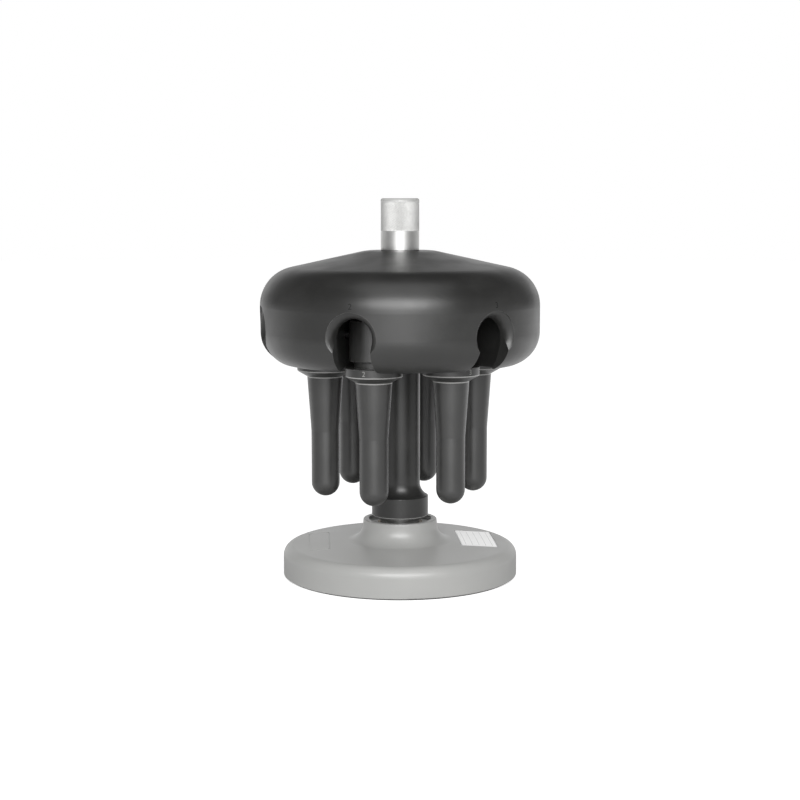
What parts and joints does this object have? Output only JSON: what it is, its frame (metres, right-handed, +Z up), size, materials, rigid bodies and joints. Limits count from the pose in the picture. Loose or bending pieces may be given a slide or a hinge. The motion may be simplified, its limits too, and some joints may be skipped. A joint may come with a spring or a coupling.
{
  "type": "swing out rotor",
  "caption": "Swing out ultracentrifuge rotor with hanging buckets in a domed black body, knurled handle on top, drive adapter below, standing on a round bench stand.",
  "frame": {"origin": "centre of the stand's foot ring on the bench, under the rotor's axis", "axes": "+Z up along the rotor's axis, -Y towards the front, +X to the viewer's right"},
  "size_m": [0.1844, 0.1844, 0.2503],
  "materials": {
    "grey_paint": "satin paint",
    "label_white": "smooth",
    "rubber": "matt",
    "seal_rubber": "matt",
    "zinc_steel": "zinc plated",
    "ground_steel": "ground",
    "cast_iron": "as cast",
    "bronze": "turned bronze",
    "black_anodised": "black anodised, satin",
    "knurled_aluminium": "polished, knurled grip",
    "disk_film": "thin film"
  },
  "bodies": {
    "stand": {"stand_base": "grey_paint", "label_plate": "label_white", "foot_ring": "rubber", "bottom_plate": "zinc_steel", "ballast_ring": "cast_iron", "plate_screws": "zinc_steel", "spindle_bush": "bronze"},
    "turning_spindle": {"spindle": "ground_steel", "drive_pins": "ground_steel", "spindle_clip": "zinc_steel"},
    "rotor": {"rotor_body": "black_anodised", "rotor_adapter": "black_anodised", "adapter_dowels": "ground_steel", "overspeed_disk": "disk_film", "hanger_pins": "ground_steel", "rotor_handle": "knurled_aluminium", "handle_stud": "ground_steel"},
    "hung_cap_1": {"bucket_cap_1": "black_anodised", "cap_seal_1": "seal_rubber"},
    "hung_bucket_1": {"bucket_1": "black_anodised"},
    "hung_cap_2": {"bucket_cap_2": "black_anodised", "cap_seal_2": "seal_rubber"},
    "hung_bucket_2": {"bucket_2": "black_anodised"},
    "hung_cap_3": {"bucket_cap_3": "black_anodised", "cap_seal_3": "seal_rubber"},
    "hung_bucket_3": {"bucket_3": "black_anodised"},
    "hung_cap_4": {"bucket_cap_4": "black_anodised", "cap_seal_4": "seal_rubber"},
    "hung_bucket_4": {"bucket_4": "black_anodised"},
    "hung_cap_5": {"bucket_cap_5": "black_anodised", "cap_seal_5": "seal_rubber"},
    "hung_bucket_5": {"bucket_5": "black_anodised"},
    "hung_cap_6": {"bucket_cap_6": "black_anodised", "cap_seal_6": "seal_rubber"},
    "hung_bucket_6": {"bucket_6": "black_anodised"}
  },
  "joints": [
    {"name": "rotor_spin", "type": "hinge", "parent": "stand", "child": "turning_spindle", "pos_m": [0, 0, 0.0399], "axis": [0, 0, 1], "continuous": true},
    {"name": "rotor_lift", "type": "slide", "parent": "turning_spindle", "child": "rotor", "axis": [0, 0, 1], "range_m": [0, 0.045]},
    {"name": "bucket_1_swing", "type": "hinge", "parent": "rotor", "child": "hung_cap_1", "pos_m": [-0.04941, -0.00827, 0.16455], "axis": [-0.165, 0.9863, 0], "range_deg": [0, 90]},
    {"name": "bucket_1_turn", "type": "hinge", "parent": "hung_cap_1", "child": "hung_bucket_1", "pos_m": [-0.04941, -0.00827, 0.14], "axis": [0, 0, 1], "range_deg": [0, 90]},
    {"name": "bucket_2_swing", "type": "hinge", "parent": "rotor", "child": "hung_cap_2", "pos_m": [-0.01755, -0.04693, 0.16455], "axis": [-0.9367, 0.3502, 0], "range_deg": [0, 90]},
    {"name": "bucket_2_turn", "type": "hinge", "parent": "hung_cap_2", "child": "hung_bucket_2", "pos_m": [-0.01755, -0.04693, 0.14], "axis": [0, 0, 1], "range_deg": [0, 90]},
    {"name": "bucket_3_swing", "type": "hinge", "parent": "rotor", "child": "hung_cap_3", "pos_m": [0.03187, -0.03866, 0.16455], "axis": [-0.7716, -0.6361, 0], "range_deg": [0, 90]},
    {"name": "bucket_3_turn", "type": "hinge", "parent": "hung_cap_3", "child": "hung_bucket_3", "pos_m": [0.03187, -0.03866, 0.14], "axis": [0, 0, 1], "range_deg": [0, 90]},
    {"name": "bucket_4_swing", "type": "hinge", "parent": "rotor", "child": "hung_cap_4", "pos_m": [0.04941, 0.00827, 0.16455], "axis": [0.165, -0.9863, 0], "range_deg": [0, 90]},
    {"name": "bucket_4_turn", "type": "hinge", "parent": "hung_cap_4", "child": "hung_bucket_4", "pos_m": [0.04941, 0.00827, 0.14], "axis": [0, 0, 1], "range_deg": [0, 90]},
    {"name": "bucket_5_swing", "type": "hinge", "parent": "rotor", "child": "hung_cap_5", "pos_m": [0.01755, 0.04693, 0.16455], "axis": [0.9367, -0.3502, 0], "range_deg": [0, 90]},
    {"name": "bucket_5_turn", "type": "hinge", "parent": "hung_cap_5", "child": "hung_bucket_5", "pos_m": [0.01755, 0.04693, 0.14], "axis": [0, 0, 1], "range_deg": [0, 90]},
    {"name": "bucket_6_swing", "type": "hinge", "parent": "rotor", "child": "hung_cap_6", "pos_m": [-0.03187, 0.03866, 0.16455], "axis": [0.7716, 0.6361, 0], "range_deg": [0, 90]},
    {"name": "bucket_6_turn", "type": "hinge", "parent": "hung_cap_6", "child": "hung_bucket_6", "pos_m": [-0.03187, 0.03866, 0.14], "axis": [0, 0, 1], "range_deg": [0, 90]}
  ]
}
